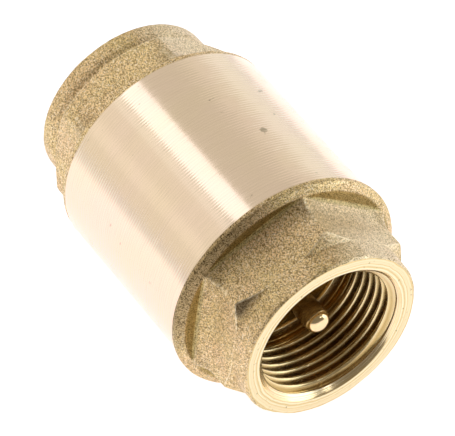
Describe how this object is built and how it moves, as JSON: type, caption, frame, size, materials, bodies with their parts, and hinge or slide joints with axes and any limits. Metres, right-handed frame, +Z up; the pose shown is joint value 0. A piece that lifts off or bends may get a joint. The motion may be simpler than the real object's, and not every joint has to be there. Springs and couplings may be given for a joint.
{
  "type": "in-line check valve",
  "caption": "Brass in-line spring check valve: a screwed body with hexagon ends and parallel female pipe threads, holding a stem-guided spring-loaded disc that lets water pass one way.",
  "frame": {"origin": "on the bore's axis, half-way between the two end faces", "axes": "+X along the bore towards the inlet end, +Z up with the valve lying on its side, +Y completes the right-handed frame; water flows towards -X"},
  "size_m": [0.0636, 0.0422, 0.0422],
  "materials": {
    "valve_body": "turned sleeve with fine tool marks, blasted forged hexagon end, machined socket",
    "end_adapter": "blasted forged flange and hexagon, machined end face and socket",
    "poppet": "bright turned",
    "spring": "drawn stainless wire",
    "seal": "matt black nitrile"
  },
  "bodies": {
    "housing": {"valve_body": "valve_body", "end_adapter": "end_adapter", "body_seal_ring": "seal"},
    "spring_end": {"return_spring": "spring"},
    "poppet": {"stem": "poppet", "valve_disc": "poppet", "disc_seal": "seal", "seal_retainer": "poppet", "retainer_nut": "poppet"}
  },
  "joints": [
    {"name": "disc_lift", "type": "slide", "parent": "housing", "child": "spring_end", "axis": [-1, 0, 0], "range_m": [0, 0.007], "stiffness_N_per_m": 150, "springref_m": -0.006, "deforming": ["return_spring"]},
    {"name": "disc_spin", "type": "hinge", "parent": "spring_end", "child": "poppet", "pos_m": [0, 0, 0], "axis": [1, 0, 0], "continuous": true}
  ]
}
